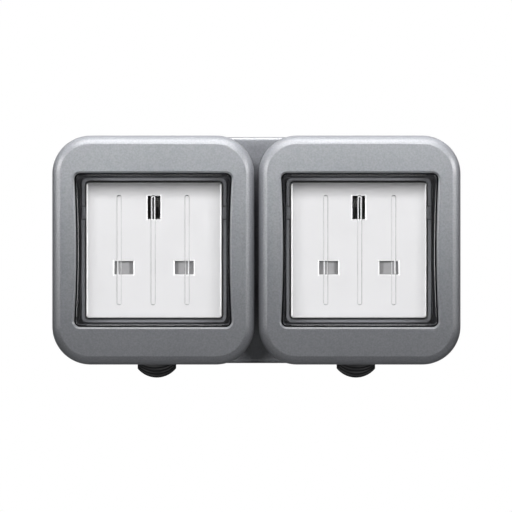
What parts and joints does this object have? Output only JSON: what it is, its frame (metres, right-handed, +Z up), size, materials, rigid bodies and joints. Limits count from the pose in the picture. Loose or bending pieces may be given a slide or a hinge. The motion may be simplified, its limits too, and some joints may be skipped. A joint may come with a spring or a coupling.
{
  "type": "outdoor weatherproof socket outlet",
  "caption": "Grey surface-mounted outdoor socket outlet with hinged window lids, sprung shutters behind the pin holes and ribbed rubber cable entries below.",
  "frame": {"origin": "middle of the back face, on the wall", "axes": "+X to the right as seen from the front, +Y into the wall, +Z up"},
  "size_m": [0.1492, 0.059, 0.0901],
  "materials": {
    "grey_plastic": "fine-grained moulded grey",
    "clear_plastic": "clear polished",
    "white_plastic": "satin white",
    "rear_plastic": "moulded black",
    "shutter_plastic": "moulded light grey",
    "black_rubber": "soft black",
    "brass": "stamped and milled",
    "steel": "zinc plated",
    "spring_steel": "bright strip"
  },
  "bodies": {
    "enclosure": {"back_box": "grey_plastic", "box_gasket": "black_rubber", "front_plate": "grey_plastic", "plate_screws": "steel", "module_screws": "steel", "hinge_pin_left": "steel", "hinge_pin_right": "steel", "socket_face_left": "white_plastic", "socket_face_right": "white_plastic", "socket_rear_left": "rear_plastic", "socket_rear_right": "rear_plastic", "shutter_spring_left": "spring_steel", "shutter_spring_right": "spring_steel", "earth_contact_left": "brass", "earth_contact_right": "brass", "live_contact_left": "brass", "live_contact_right": "brass", "neutral_contact_left": "brass", "neutral_contact_right": "brass", "terminal_screws_left": "steel", "terminal_screws_right": "steel", "cable_boot_left": "black_rubber", "cable_boot_right": "black_rubber"},
    "lid_left": {"lid_frame_left": "grey_plastic", "lid_window_left": "clear_plastic", "window_gasket_left": "black_rubber", "lid_seal_left": "black_rubber"},
    "shutter_left": {"shutter_left": "shutter_plastic"},
    "lid_right": {"lid_frame_right": "grey_plastic", "lid_window_right": "clear_plastic", "window_gasket_right": "black_rubber", "lid_seal_right": "black_rubber"},
    "shutter_right": {"shutter_right": "shutter_plastic"}
  },
  "joints": [
    {"name": "lid_left_hinge", "type": "hinge", "parent": "enclosure", "child": "lid_left", "pos_m": [-0.0377, -0.0406, 0.03885], "axis": [-1, 0, 0], "range_deg": [0, 100]},
    {"name": "shutter_left_slide", "type": "slide", "parent": "enclosure", "child": "shutter_left", "axis": [0, 0, -1], "range_m": [0, 0.006], "stiffness_N_per_m": 100, "springref_m": -0.004, "deforming": ["shutter_spring_left"]},
    {"name": "lid_right_hinge", "type": "hinge", "parent": "enclosure", "child": "lid_right", "pos_m": [0.0377, -0.0406, 0.03885], "axis": [-1, 0, 0], "range_deg": [0, 100]},
    {"name": "shutter_right_slide", "type": "slide", "parent": "enclosure", "child": "shutter_right", "axis": [0, 0, -1], "range_m": [0, 0.006], "stiffness_N_per_m": 100, "springref_m": -0.004, "deforming": ["shutter_spring_right"]}
  ]
}
